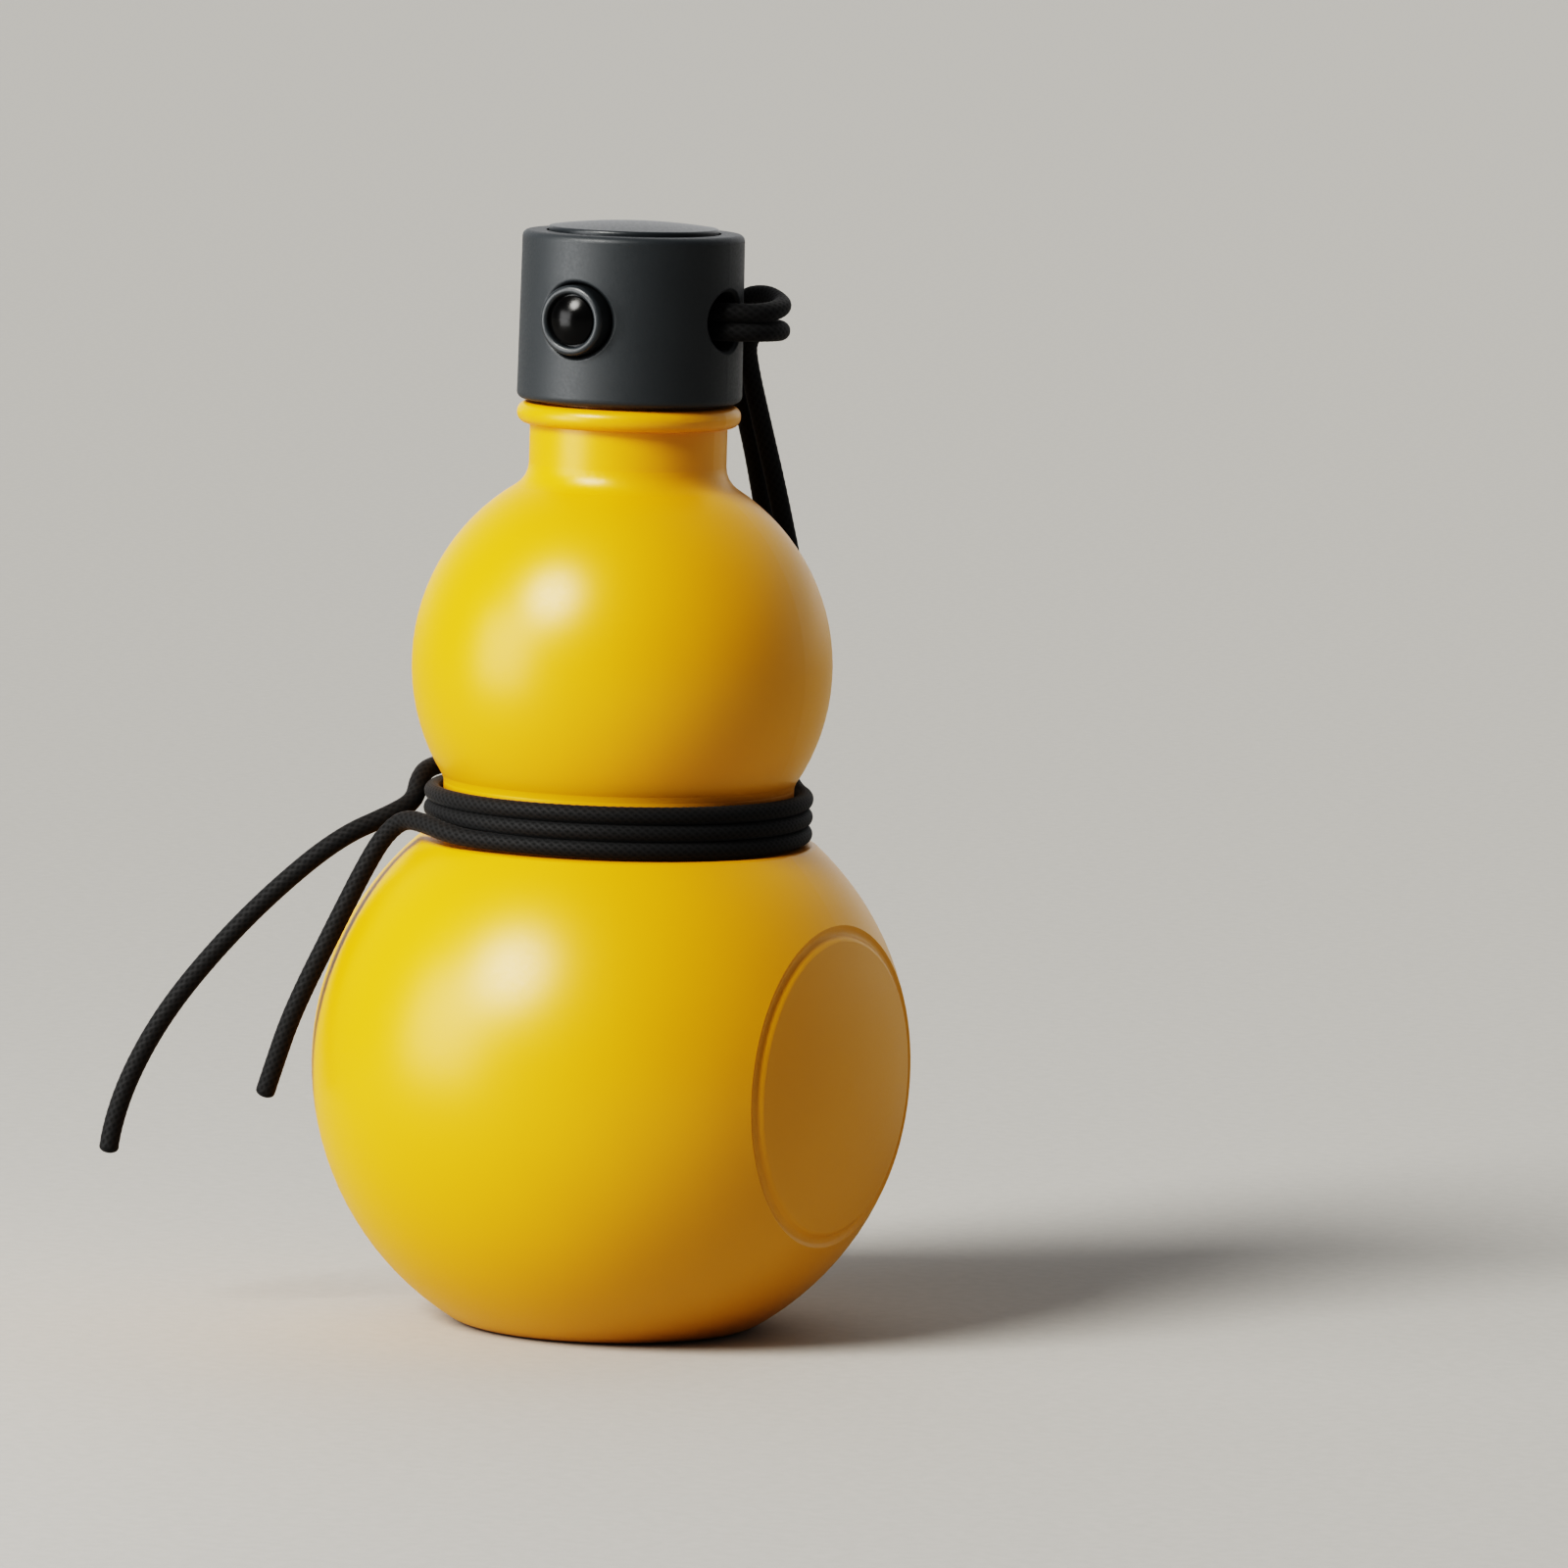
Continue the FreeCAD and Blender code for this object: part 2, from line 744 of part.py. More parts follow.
def button_dome():
    body = new_body("button_dome")
    sketch = new_sketch(body, "XZ_Plane")
    reach = amount("domeRadius")
    skirt = amount("domeSkirt")
    rise = amount("domeHeight - domeSkirt")
    radius = (reach * reach + rise * rise) / (2 * rise)
    middle = Vector(0, skirt + rise - radius, 0)
    start = math.atan2(skirt - middle.y, reach)
    circle = Part.Circle(middle, Vector(0, 0, 1), radius)
    flat = amount("domeFlat")
    top = skirt + rise
    start_flat = math.acos(flat / radius)
    spots = [Vector(0, 0, 0), Vector(reach, 0, 0), Vector(reach, skirt, 0)]
    sketch.addGeometry(Part.LineSegment(spots[0], spots[1]))
    sketch.addGeometry(Part.LineSegment(spots[1], spots[2]))
    sketch.addGeometry(Part.ArcOfCircle(circle, start, start_flat))
    sketch.addGeometry(Part.LineSegment(Vector(flat, top, 0), Vector(0, top, 0)))
    sketch.addGeometry(Part.LineSegment(Vector(0, top, 0), spots[0]))
    sides = sketch.GeometryCount
    for index in range(sides):
        after = (index + 1) % sides
        sketch.addConstraint(Sketcher.Constraint("Coincident", index, 2, after, 1))
    pin(sketch, 0, 1, "", "")
    pin(sketch, 1, 1, "domeRadius", "")
    pin(sketch, 2, 1, "domeRadius", "domeSkirt")
    pin(sketch, 3, 1, "domeFlat", "domeHeight")
    pin(sketch, 4, 1, "", "domeHeight")
    sketch.addConstraint(Sketcher.Constraint("PointOnObject", 2, 3, -2))
    revolved(body, sketch)
    turn = FreeCAD.Rotation(Vector(1, 0, 0), 90)
    body.Placement = FreeCAD.Placement(Vector(), turn)
    seat = "plungerRear - plungerFace + domeSeatDepth"
    body.setExpression("Placement.Base.y", bound(seat))
    body.setExpression("Placement.Base.z", "sizes.lockHeight")
    return body


def two_arcs(start, leaving, stop, arriving):
    """Two arcs that join two points and keep the directions at both."""
    gap = stop - start
    both = leaving + arriving
    square = 2 * (1 - leaving.dot(arriving))
    along = gap.dot(both)
    if square < 1e-9:
        length = gap.dot(gap) / (4 * gap.dot(arriving))
    else:
        root = math.sqrt(along * along + square * gap.dot(gap))
        length = (root - along) / square
    joint = (start + stop + (leaving - arriving) * length) * 0.5
    pieces = []
    for one, heading, two in ((start, leaving, joint), (stop, arriving * -1, joint)):
        chord = two - one
        side = heading * chord.dot(chord) - chord * heading.dot(chord)
        if side.Length < 1e-6 * chord.Length:
            middle = None
        else:
            normal = chord.cross(heading).cross(heading)
            if normal.dot(chord) < 0:
                normal = normal * -1
            normal.normalize()
            radius = chord.dot(chord) / (2 * chord.dot(normal))
            centre = one + normal * radius
            out = (one + two) * 0.5 - centre
            out.normalize()
            middle = centre + out * radius
        pieces.append((one, middle, two))
    first, second = pieces
    second = (second[2], second[1], second[0])
    edges = []
    for one, middle, two in (first, second):
        if middle is None:
            edges.append(Part.LineSegment(one, two).toShape())
        else:
            edges.append(Part.Arc(one, middle, two).toShape())
    return edges


def tube(label, edges, radius):
    """One unbroken tube along edges that join smoothly."""
    wire = Part.Wire(edges)
    first = edges[0]
    start = first.valueAt(first.FirstParameter)
    heading = first.tangentAt(first.FirstParameter)
    if start.distanceToPoint(wire.OrderedVertexes[0].Point) > amount("edgeMargin"):
        raise ValueError(label + " starts at the wrong end")
    ring = Part.Wire([Part.Circle(start, heading, radius).toShape()])
    solid = wire.makePipeShell([ring], True, False)
    wanted = math.pi * radius * radius * wire.Length
    share = solid.Volume / wanted
    print("%s: length %.1f mm, volume %.3f of section x length" % (label, wire.Length, share))
    feature = document.addObject("Part::Feature", label)
    feature.Shape = solid
    feature.Label = label
    return feature


def lock_spring():
    radius = amount("springRadius")
    wire = amount("springWire")
    lift = Vector(0, 0, amount("lockHeight"))
    margin = wire + amount("springEndGap")
    start = amount("plungerRear - springPocketDepth") + margin
    stop = amount("barrelBack - springSeat") - margin
    steps = SPRING_TURNS * 4
    rise = (stop - start) / steps
    slope = rise / (radius * math.pi / 2)
    edges = []
    nodes = []
    for step in range(steps + 1):
        angle = step * math.pi / 2
        out = Vector(math.cos(angle), 0, math.sin(angle))
        spot = lift + out * radius + Vector(0, start + rise * step, 0)
        heading = Vector(-math.sin(angle), slope, math.cos(angle))
        heading.normalize()
        nodes.append((spot, heading))
    for one, two in zip(nodes, nodes[1:]):
        edges += two_arcs(one[0], one[1], two[0], two[1])
    return tube("lock_spring", edges, wire)


def rounded(label, spots):
    """A route's straight runs, with an arc at each turn."""
    edges = []
    here = spots[0]
    radii = []
    for before, corner, after in zip(spots, spots[1:], spots[2:]):
        back = before - corner
        ahead = after - corner
        trim = TURN_SHARE * min(back.Length, ahead.Length)
        back.normalize()
        ahead.normalize()
        half = back.getAngle(ahead) / 2
        radius = trim * math.tan(half)
        radii.append(radius)
        start = corner + back * trim
        stop = corner + ahead * trim
        inward = back + ahead
        inward.normalize()
        middle = corner + inward * (radius / math.sin(half) - radius)
        edges.append(Part.LineSegment(here, start).toShape())
        edges.append(Part.Arc(start, middle, stop).toShape())
        here = stop
    edges.append(Part.LineSegment(here, spots[-1]).toShape())
    print("%s: turn radii %s mm" % (label, [round(one, 1) for one in radii]))
    return edges


def around(angle, reach, height):
    """A place given by its angle from +X about the axis, in cord units."""
    unit = amount("cordUnit")
    turn = math.radians(angle)
    return Vector(reach * math.cos(turn), reach * math.sin(turn), height) * unit


def beside(out, back, height):
    """A place in the plane of the tails: out from the axis, back towards +Y."""
    unit = amount("cordUnit")
    turn = math.radians(TAIL_PLANE)
    across = Vector(-math.cos(turn), -math.sin(turn), 0)
    away = Vector(-math.sin(turn), math.cos(turn), 0)
    return (across * out + away * back + Vector(0, 0, height)) * unit


def between(one, two, share):
    return one + (two - one) * share


def upper_lead():
    """Corners of the upper strand, from the cord hole round to the riser."""
    height = amount("lockHeight + pairHalf")
    return [
        Vector(20.9, 0, 0) * amount("cordUnit") + Vector(0, 0, height),
        Vector(24.6, 10.2, 0.1) * amount("cordUnit") + Vector(0, 0, height),
        around(76.5, 25.4, 169.2),
        around(76.5, 38.6, 105.6),
    ]


def lower_lead():
    height = amount("lockHeight - pairHalf")
    return [
        Vector(20.9, 0, 0) * amount("cordUnit") + Vector(0, 0, height),
        Vector(24.3, 9.5, -0.1) * amount("cordUnit") + Vector(0, 0, height),
        around(66, 23.8, 164.6),
        around(66, 38.7, 108.2),
    ]


def cap_cord():
    """The doubled cord through the lock: its fold at -X, both strands out at +X."""
    lift = Vector(0, 0, amount("lockHeight"))
    half = amount("pairHalf")
    unit = amount("cordUnit")
    up = upper_lead()
    down = lower_lead()
    spots = [
        between(up[2], up[3], RISER_SHARE),
        up[2],
        up[1],
        up[0],
        lift + Vector(-8 * unit, 0, half),
        lift + Vector(-16.2, 0, 3.4) * unit,
        lift + Vector(-18.5, 0, 0) * unit,
        lift + Vector(-16.2, 0, -3.4) * unit,
        lift + Vector(-8 * unit, 0, -half),
        down[0],
        down[1],
        down[2],
        between(down[2], down[3], RISER_SHARE),
    ]
    return tube("cap_cord", rounded("cap_cord", spots), amount("cordRadius"))


def winding_reach():
    return amount("waistRadius + cordRadius + cordGap")


def winding_height(turn):
    """The height of each turn, the first at the top."""
    low = amount("waistFloor + cordRadius + cordGap")
    pitch = amount("cordRadius + cordRadius + turnGap")
    return low + (WAIST_TURNS - 1 - turn) * pitch


def tangent_start():
    """Where the first turn meets the waist, and which way it runs."""
    turn = math.radians(FIRST_ANGLE)
    heading = Vector(math.sin(turn), -math.cos(turn), 0)
    reach = winding_reach()
    meet = Vector(reach * math.cos(turn), reach * math.sin(turn), winding_height(0))
    return meet, heading


def tangent_stop():
    turn = math.radians(LAST_ANGLE)
    heading = Vector(math.sin(turn), -math.cos(turn), 0)
    reach = winding_reach()
    height = winding_height(WAIST_TURNS - 1)
    meet = Vector(reach * math.cos(turn), reach * math.sin(turn), height)
    return meet, heading


def waist_winding():
    """Turns round the waist, each level, stepping down at the back."""
    reach = winding_reach()
    width = amount("cordRadius + cordRadius")
    stops = [(FIRST_ANGLE, 0)]
    for turn in range(WAIST_TURNS):
        begin = stops[-1][0]
        end = LAST_ANGLE if turn == WAIST_TURNS - 1 else DROP_FROM - 360 * (turn + 1)
        steps = math.ceil((begin - end) / 60)
        for step in range(1, steps + 1):
            stops.append((begin + (end - begin) * step / steps, turn))
        if turn < WAIST_TURNS - 1:
            stops.append((DROP_TO - 360 * (turn + 1), turn + 1))
    nodes = []
    for angle, turn in stops:
        way = math.radians(angle)
        spot = Vector(reach * math.cos(way), reach * math.sin(way), winding_height(turn))
        nodes.append((spot, Vector(math.sin(way), -math.cos(way), 0)))
    meet, heading = nodes[0]
    edges = [Part.LineSegment(meet - heading * width, meet).toShape()]
    for one, two in zip(nodes, nodes[1:]):
        edges += two_arcs(one[0], one[1], two[0], two[1])
    meet, heading = nodes[-1]
    edges.append(Part.LineSegment(meet, meet + heading * width).toShape())
    print("waist_winding: least gap %.2f mm" % least_gap(edges, width))
    return tube("waist_winding", edges, amount("cordRadius"))


def least_gap(edges, width):
    """The least clear gap of a tube to its own other turns."""
    points = []
    for edge in edges:
        count = max(2, int(edge.Length))
        points += edge.discretize(count + 1)[:-1]
    half_turn = len(points) // (2 * WAIST_TURNS)
    distances = []
    for first, spot in enumerate(points):
        for other in points[first + half_turn:]:
            distances.append(spot.distanceToPoint(other))
    return min(distances) - width


def riser_right():
    down = lower_lead()
    meet, heading = tangent_start()
    reach = winding_reach()
    turn = math.radians(START_SWING)
    corner = meet - heading * (reach * math.tan(turn))
    end = meet - heading * amount("cordRadius + cordRadius")
    spots = [between(down[2], down[3], RISER_SHARE), down[3], corner, end]
    return tube("cord_riser_right", rounded("cord_riser_right", spots), amount("cordRadius"))


def back_run():
    """Corners of the strand that passes behind the waist to the knot."""
    return [
        around(90, 35.6, 92.7),
        around(117, 33.9, 92.7),
        around(146, 33.9, 92.7),
        around(176, 34.0, 92.7),
        around(203, 34.6, 93.2),
        beside(36.4, -0.6, 85.6),
        beside(45.7, 0.0, 80.0),
    ]


def riser_left():
    up = upper_lead()
    run = back_run()
    spots = [between(up[2], up[3], RISER_SHARE), up[3], run[0], run[1]]
    spots.append(between(run[1], run[2], KNOT_SHARE))
    return tube("cord_riser_left", rounded("cord_riser_left", spots), amount("cordRadius"))


def knot_strand():
    run = back_run()
    spots = [between(run[1], run[2], KNOT_SHARE)]
    spots += run[2:6]
    spots.append(between(run[5], run[6], KNOT_SHARE))
    return tube("knot_strand", rounded("knot_strand", spots), amount("cordRadius"))


def long_tail():
    run = back_run()
    spots = [
        between(run[5], run[6], KNOT_SHARE),
        run[6],
        beside(57.2, 0.4, 70.0),
        beside(66.9, 0.4, 59.8),
        beside(74.6, 0.0, 49.6),
        beside(80.0, -0.8, 39.5),
        beside(82.6, -1.6, 29.8),
        beside(82.9, -1.9, 26.0),
    ]
    return tube("long_tail", rounded("long_tail", spots), amount("cordRadius"))


def short_tail():
    meet, heading = tangent_stop()
    start = meet + heading * amount("cordRadius + cordRadius")
    reach = winding_reach()
    turn = math.radians(STOP_SWING)
    spots = [
        start,
        meet + heading * (reach * math.tan(turn)),
        beside(39.4, -2.6, 80.2),
        beside(43.4, -8.2, 72.2),
        beside(47.2, -10.0, 64.8),
        beside(50.6, -9.4, 57.2),
        beside(53.4, -8.4, 49.8),
        beside(55.6, -7.6, 42.4),
        beside(56.9, -7.2, 37.6),
    ]
    return tube("short_tail", rounded("short_tail", spots), amount("cordRadius"))


NODES = [
    bottle_shell(),
    cap_shell(),
    cap_liner(),
    cap_gasket(),
    cap_top_plate(),
    lock_barrel(),
    lock_plunger(),
    button_dome(),
    lock_spring(),
    cap_cord(),
    riser_right(),
    riser_left(),
    waist_winding(),
    knot_strand(),
    long_tail(),
    short_tail(),
]

document.recompute()
for item in document.Objects:
    if "Invalid" in item.State or "Error" in item.State:
        raise ValueError("%s: %s" % (item.Label, item.State))
os.makedirs("parts", exist_ok=True)
for node in NODES:
    shape = node.Shape
    if shape.isNull() or not shape.isValid() or len(shape.Solids) != 1:
        raise ValueError("%s: %d solids" % (node.Label, len(shape.Solids)))
    shape.exportStep("parts/%s.step" % node.Label)
    box = shape.BoundBox
    print(
        "%-18s %9.1f mm3  x %.1f..%.1f  y %.1f..%.1f  z %.1f..%.1f"
        % (node.Label, shape.Volume, box.XMin, box.XMax, box.YMin, box.YMax, box.ZMin, box.ZMax)
    )
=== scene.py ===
import bpy
import bmesh
import math
from mathutils import Matrix, Vector


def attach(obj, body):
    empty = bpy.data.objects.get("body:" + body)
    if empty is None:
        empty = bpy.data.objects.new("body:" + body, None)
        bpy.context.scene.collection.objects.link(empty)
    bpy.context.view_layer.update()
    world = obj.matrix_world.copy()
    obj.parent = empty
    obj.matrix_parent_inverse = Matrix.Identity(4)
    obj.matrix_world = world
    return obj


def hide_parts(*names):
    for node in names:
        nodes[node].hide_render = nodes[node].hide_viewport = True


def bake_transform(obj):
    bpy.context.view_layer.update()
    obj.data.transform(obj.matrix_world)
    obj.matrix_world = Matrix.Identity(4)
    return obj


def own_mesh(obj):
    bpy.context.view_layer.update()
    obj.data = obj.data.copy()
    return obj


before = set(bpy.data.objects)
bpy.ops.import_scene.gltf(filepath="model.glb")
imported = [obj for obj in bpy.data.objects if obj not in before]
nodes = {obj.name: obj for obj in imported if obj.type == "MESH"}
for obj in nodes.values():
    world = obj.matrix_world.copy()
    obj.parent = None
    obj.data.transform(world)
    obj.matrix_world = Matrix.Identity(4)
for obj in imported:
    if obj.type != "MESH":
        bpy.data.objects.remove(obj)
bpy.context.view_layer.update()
mm = 0.001
print("frame loaded:", len(nodes), "CAD nodes")


def linearColour(hexText):
    # sRGB hex to the linear colour that a socket takes
    parts = []
    for start in (1, 3, 5):
        value = int(hexText[start:start + 2], 16) / 255
        parts.append(value / 12.92 if value <= 0.04045 else ((value + 0.055) / 1.055) ** 2.4)
    return (*parts, 1.0)


def addNode(tree, kind, settings=None, values=None, links=None, stops=()):
    # settings go on the node, values on its sockets, links take other nodes' outputs,
    # and stops are a colour ramp's places and colours
    node = tree.nodes.new(kind)
    for name, value in (settings or {}).items():
        setattr(node, name, value)
    for socket, value in (values or {}).items():
        node.inputs[socket].default_value = value
    for socket, source in (links or {}).items():
        tree.links.new(source, node.inputs[socket])
    for number, (place, hexText) in enumerate(stops):
        node.color_ramp.elements[number].position = place
        node.color_ramp.elements[number].color = linearColour(hexText)
    return node


def newMaterial(name):
    material = bpy.data.materials.new(name)
    material.use_nodes = True
    tree = material.node_tree
    tree.nodes.clear()
    return material, tree


def deselectAll():
    if bpy.context.object and bpy.context.object.mode != "OBJECT":
        bpy.ops.object.mode_set(mode="OBJECT")
    bpy.ops.object.select_all(action="DESELECT")


def dress(piece, material):
    piece.data.materials.clear()
    piece.data.materials.append(material)


def eased(share):
    # 0 to 1 with a soft start and a soft end
    return share * share * (3 - 2 * share)


# camera, at the photograph's angle; the bottle leans a little to the right in it
cameraSetup = {
    "azimuth": 29.5,
    "elevation": 6.3,
    "roll": 1.65,
    "distance": 1.8,
    "lens": 247.6,
    "sensor": 36,
    "aimHeight": 43.6 * mm,
    "aimRight": 28.8 * mm,
    "aimUp": 46.6 * mm,
}


def placeCamera(setup):
    turn, lift, roll = (math.radians(setup[name]) for name in ("azimuth", "elevation", "roll"))
    back = Vector((math.sin(turn) * math.cos(lift), -math.cos(turn) * math.cos(lift), math.sin(lift)))
    level = Vector((math.cos(turn), math.sin(turn), 0))
    steep = back.cross(level)
    right = level * math.cos(roll) + steep * math.sin(roll)
    up = steep * math.cos(roll) - level * math.sin(roll)
    aim = Vector((0, 0, setup["aimHeight"])) + right * setup["aimRight"] + up * setup["aimUp"]
    place = Matrix((right, up, back)).transposed().to_4x4()
    place.translation = aim + back * setup["distance"]
    data = bpy.data.cameras.new("photoCamera")
    data.lens = setup["lens"]
    data.sensor_width = setup["sensor"]
    camera = bpy.data.objects.new("photoCamera", data)
    bpy.context.collection.objects.link(camera)
    camera.matrix_world = place
    bpy.context.scene.camera = camera


placeCamera(cameraSetup)
print("camera placed")


# cord routes, in millimetres and degrees about the bottle's axis
def around(angle, reach, height):
    turn = math.radians(angle)
    return Vector((reach * math.cos(turn), reach * math.sin(turn), height)) * mm


tailPlane = math.radians(30)


def beside(out, back, height):
    # out from the axis in the plane of the tails, back towards +Y
    across = -math.cos(tailPlane) * out - math.sin(tailPlane) * back
    away = -math.sin(tailPlane) * out + math.cos(tailPlane) * back
    return Vector((across, away, height)) * mm


def at(across, away, height):
    return Vector((across, away, height)) * mm


windingSetup = {
    "reach": 30.95,
    "step": 20,
    "first": 36,
    "heights": (88.75, 85.9, 83.05),
    "turnEnds": (-215, -575, -810),
}


def windingPoints(setup):
    # level turns round the waist, each stepping down at the back;
    # the spline runs inside its points, so they stand a little further out
    reach = setup["reach"] / math.cos(math.radians(setup["step"] / 2))
    points = []
    angle = setup["first"]
    for height, last in zip(setup["heights"], setup["turnEnds"]):
        while angle >= last:
            points.append(around(angle, reach, height))
            angle -= setup["step"]
    return points


# lower strand: out of the cap, down the back, three turns round the waist, short tail
rightRoute = [
    at(8, 0, 167.0), at(14, 0, 167.0), at(19.4, 0.2, 167.0), at(23.1, 4.2, 167.0), around(27, 25.2, 166.8),
    around(40.5, 24.3, 166.8), around(53, 23.4, 166.8), around(63.5, 22.9, 164.0), around(66, 24.6, 158.9),
    around(66, 27.0, 151.2), around(66, 31.4, 137.5), around(66, 36.9, 117.5), around(66, 38.1, 106.0),
    around(65.5, 35.6, 96.8), around(62, 33.2, 90.5), around(52, 32.1, 88.8),
]
rightRoute += windingPoints(windingSetup)
rightRoute += [
    around(254, 32.3, 83.1), around(243, 33.6, 83.6), around(232, 34.3, 84.5), beside(35.4, -7.8, 84.7),
    beside(38.8, -6.0, 81.4), beside(41.8, -6.6, 76.0), beside(44.8, -8.0, 69.8), beside(47.9, -8.8, 63.2),
    beside(51.0, -9.0, 56.6), beside(53.8, -8.8, 49.8), beside(56.1, -8.4, 42.4), beside(57.3, -8.2, 38.4),
]
# upper strand: from the fold in the lock, down the back, behind the waist, over the turns, long tail
leftRoute = [
    at(8, 0, 166.9), at(-4, 0, 166.8), at(-9, 0, 166.5), at(-13.4, 0, 165.2), at(-16.6, 0, 165.4),
    at(-18.3, 0, 167.5), at(-18.3, 0, 169.7), at(-16.6, 0, 171.8), at(-13.4, 0, 172.0), at(-9, 0, 170.7),
    at(-4, 0, 170.3), at(8, 0, 170.1), at(14, 0, 170.1), at(19.4, 0.2, 170.1), at(23.1, 4.2, 170.1),
    around(27, 25.2, 170.8), around(40.5, 24.5, 171.6), around(53, 23.9, 172.2), around(66.5, 23.3, 171.4),
    around(74.5, 23.3, 167.0), around(77, 24.1, 160.6), around(76.5, 28.4, 151.0), around(76.5, 32.3, 139.0),
    around(76.5, 37.8, 118.0), around(79, 39.1, 106.5), around(84, 37.4, 97.0), around(95, 35.2, 92.4),
    around(117, 34.0, 91.5), around(146, 34.0, 91.5), around(172, 33.9, 91.5), around(191, 33.9, 91.4),
    beside(33.5, 6.6, 89.6), beside(34.0, 3.9, 86.4), beside(37.4, 1.6, 84.4), beside(46.6, 0.0, 80.2),
    beside(57.8, 0.4, 70.3), beside(67.4, 0.4, 59.8), beside(75.1, 0.0, 49.5), beside(80.4, -0.8, 39.3),
    beside(83.1, -1.6, 30.6), beside(83.4, -1.9, 27.4),
]


def splinePoints(name, route):
    # a NURBS spline on the route's points is the cord's line; only its points are read
    data = bpy.data.curves.new(name + "Line", "CURVE")
    data.dimensions = "3D"
    spline = data.splines.new("NURBS")
    spline.points.add(len(route) - 1)
    for point, place in zip(spline.points, route):
        point.co = (*place, 1)
    spline.order_u = 3
    spline.use_endpoint_u = True
    spline.resolution_u = 32
    line = bpy.data.objects.new(name + "Line", data)
    bpy.context.collection.objects.link(line)
    mesh = bpy.data.meshes.new_from_object(line)
    points = [vertex.co.copy() for vertex in mesh.vertices]
    bpy.data.objects.remove(line)
    bpy.data.meshes.remove(mesh)
    return points


def evenPoints(points, step):
    # the same line with its points an equal step apart, and its length
    travelled = [0.0]
    for one, two in zip(points, points[1:]):
        travelled.append(travelled[-1] + (two - one).length)
    total = travelled[-1]
    count = round(total / step)
    even = []
    index = 0
    for number in range(count + 1):
        wanted = total * number / count
        while index < len(points) - 2 and travelled[index + 1] < wanted:
            index += 1
        share = (wanted - travelled[index]) / (travelled[index + 1] - travelled[index])
        even.append(points[index].lerp(points[index + 1], share))
    return even, total


def ringFrames(points):
    # a heading and a side at each point, with the side carried along without twist
    headings = []
    for index in range(len(points)):
        before = points[max(index - 1, 0)]
        after = points[min(index + 1, len(points) - 1)]
        headings.append((after - before).normalized())
    side = headings[0].orthogonal().normalized()
    sides = [side]
    for one, two in zip(headings, headings[1:]):
        side = one.rotation_difference(two) @ side
        side = (side - two * side.dot(two)).normalized()
        sides.append(side)
    return headings, sides


def ringWays(heading, side, count):
    # the ways out from a ring's centre, evenly round it
    other = heading.cross(side)
    turns = [2 * math.pi * step / count for step in range(count)]
    return [side * math.cos(turn) + other * math.sin(turn) for turn in turns]


def tubeFaces(mesh, rows):
    # smooth faces between neighbouring rings, and one across each end
    sideFaces = []
    for one, two in zip(rows, rows[1:]):
        for step in range(len(one)):
            after = (step + 1) % len(one)
            face = mesh.faces.new((one[step], one[after], two[after], two[step]))
            face.smooth = True
            sideFaces.append(face)
    endFaces = [mesh.faces.new(rows[0][::-1]), mesh.faces.new(rows[-1])]
    return sideFaces, endFaces


def pieceFrom(name, mesh):
    data = bpy.data.meshes.new(name)
    mesh.to_mesh(data)
    mesh.free()
    piece = bpy.data.objects.new(name, data)
    bpy.context.collection.objects.link(piece)
    return piece


cordSetup = {
    "radius": 1.6 * mm,
    "tightShare": 0.89,  # pulled tight round the waist, the braid draws in
    "tightReach": (31.6 * mm, 34.4 * mm),  # tight nearer the axis than this, loose past it
    "tightTop": 95 * mm,
    "relief": 0.07 * mm,
    "strands": 8,        # each way round, a 16-carrier braid
    "lay": 0.85,         # strand's run along the cord against its run round it
    "crossing": 0.25,    # how far a strand dips where it passes under
    "around": 32,
    "step": 0.28 * mm,
    "endRings": 6,
    "endLength": 0.6,    # of the radius
    "endHeight": 0.4,    # braid height for the shade of the melted ends
}


def braidHeight(setup, along, share):
    # two sets of strands wind opposite ways and pass over and under each other
    oneWay = math.cos(math.pi * setup["strands"] * (share + along * setup["lay"]))
    otherWay = math.cos(math.pi * setup["strands"] * (share - along * setup["lay"]))
    dip = setup["crossing"] * oneWay * otherWay
    crownOne = oneWay ** 2 * (1 - setup["crossing"] + dip)
    crownOther = otherWay ** 2 * (1 - setup["crossing"] - dip)
    return max(crownOne, crownOther)


def drawnIn(point, setup):
    # the braid's thickness at a point, thinnest in the turns round the waist
    near, far = setup["tightReach"]
    share = (point.to_2d().length - near) / (far - near)
    share = min(max(share, 0.0), 1.0) if point.z < setup["tightTop"] else 1.0
    return setup["tightShare"] + (1 - setup["tightShare"]) * eased(share)


def endRings(ring, way, setup):
    # smaller rings past an end, which is melted and rounded off
    point, heading, side, along = ring
    smaller = []
    for step in range(1, setup["endRings"]):
        bend = math.pi / 2 * step / setup["endRings"]
        out = point + heading * way * setup["radius"] * setup["endLength"] * math.sin(bend)
        smaller.append((out, heading, side, along, math.cos(bend)))
    return smaller


def cordRings(points, total, setup):
    # each ring has its centre, its heading and side, its place along the cord and its size
    girth = 2 * math.pi * setup["radius"]
    rings = []
    for index, (point, heading, side) in enumerate(zip(points, *ringFrames(points))):
        rings.append((point, heading, side, total * index / (len(points) - 1) / girth))
    startEnd = endRings(rings[0], -1, setup)
    farEnd = endRings(rings[-1], 1, setup)
    return startEnd[::-1] + [(*ring, 1.0) for ring in rings] + farEnd


